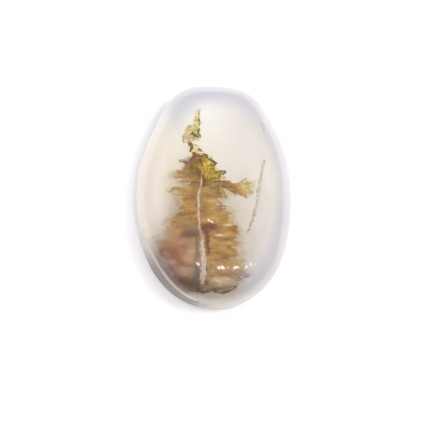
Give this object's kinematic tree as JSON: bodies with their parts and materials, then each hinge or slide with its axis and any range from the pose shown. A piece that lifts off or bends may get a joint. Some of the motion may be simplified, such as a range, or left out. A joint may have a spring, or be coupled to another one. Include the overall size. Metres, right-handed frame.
{
  "type": "dendritic agate cabochon",
  "caption": "Polished oval agate cabochon with a broad dome and a flat back, holding a tree-like mineral growth.",
  "frame": {"origin": "on the flat back, at the middle of the stone's bounding box seen from above", "axes": "+Z out of the dome, +Y along the long axis towards the straight-ground end, which is the tip of the tree"},
  "size_m": [0.0176, 0.025, 0.006],
  "materials": {
    "agate": "polished, milky and see-through, cream in the middle and bluish at the rim"
  },
  "bodies": {
    "root": {"agate_stone": "agate"}
  },
  "joints": []
}
